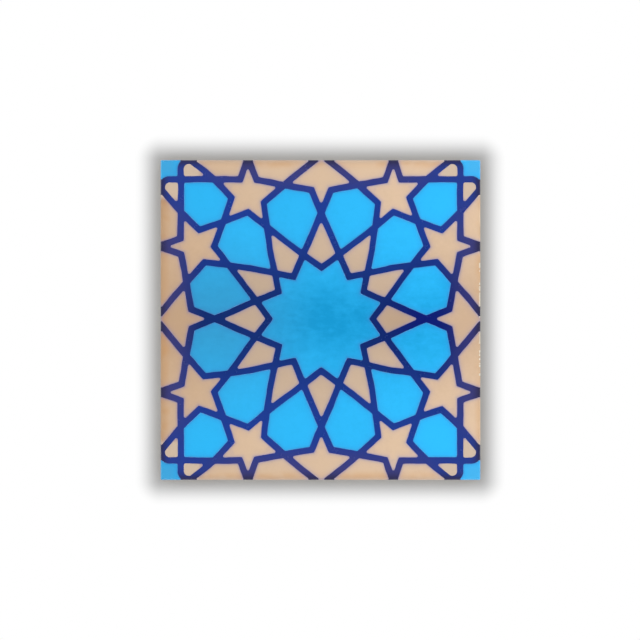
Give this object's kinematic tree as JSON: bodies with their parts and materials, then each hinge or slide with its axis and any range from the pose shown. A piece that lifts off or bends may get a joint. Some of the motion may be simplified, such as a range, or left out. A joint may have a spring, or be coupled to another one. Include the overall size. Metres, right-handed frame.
{
  "type": "haft rang tile",
  "caption": "Square glazed ceramic wall tile with a star rosette outlined in dark blue lines, a rounded glazed edge and a back keyed with shallow pockets for bedding.",
  "frame": {"origin": "centre of the bed face, the plane of the back's lands", "axes": "+Z out of the glazed face, +X and +Y along the tile's edges"},
  "size_m": [0.2, 0.2, 0.008],
  "materials": {
    "glazed_ceramic": "gloss glaze in turquoise, sand and cobalt blue over a pale buff fired body"
  },
  "bodies": {
    "root": {"tile": "glazed_ceramic"}
  },
  "joints": []
}
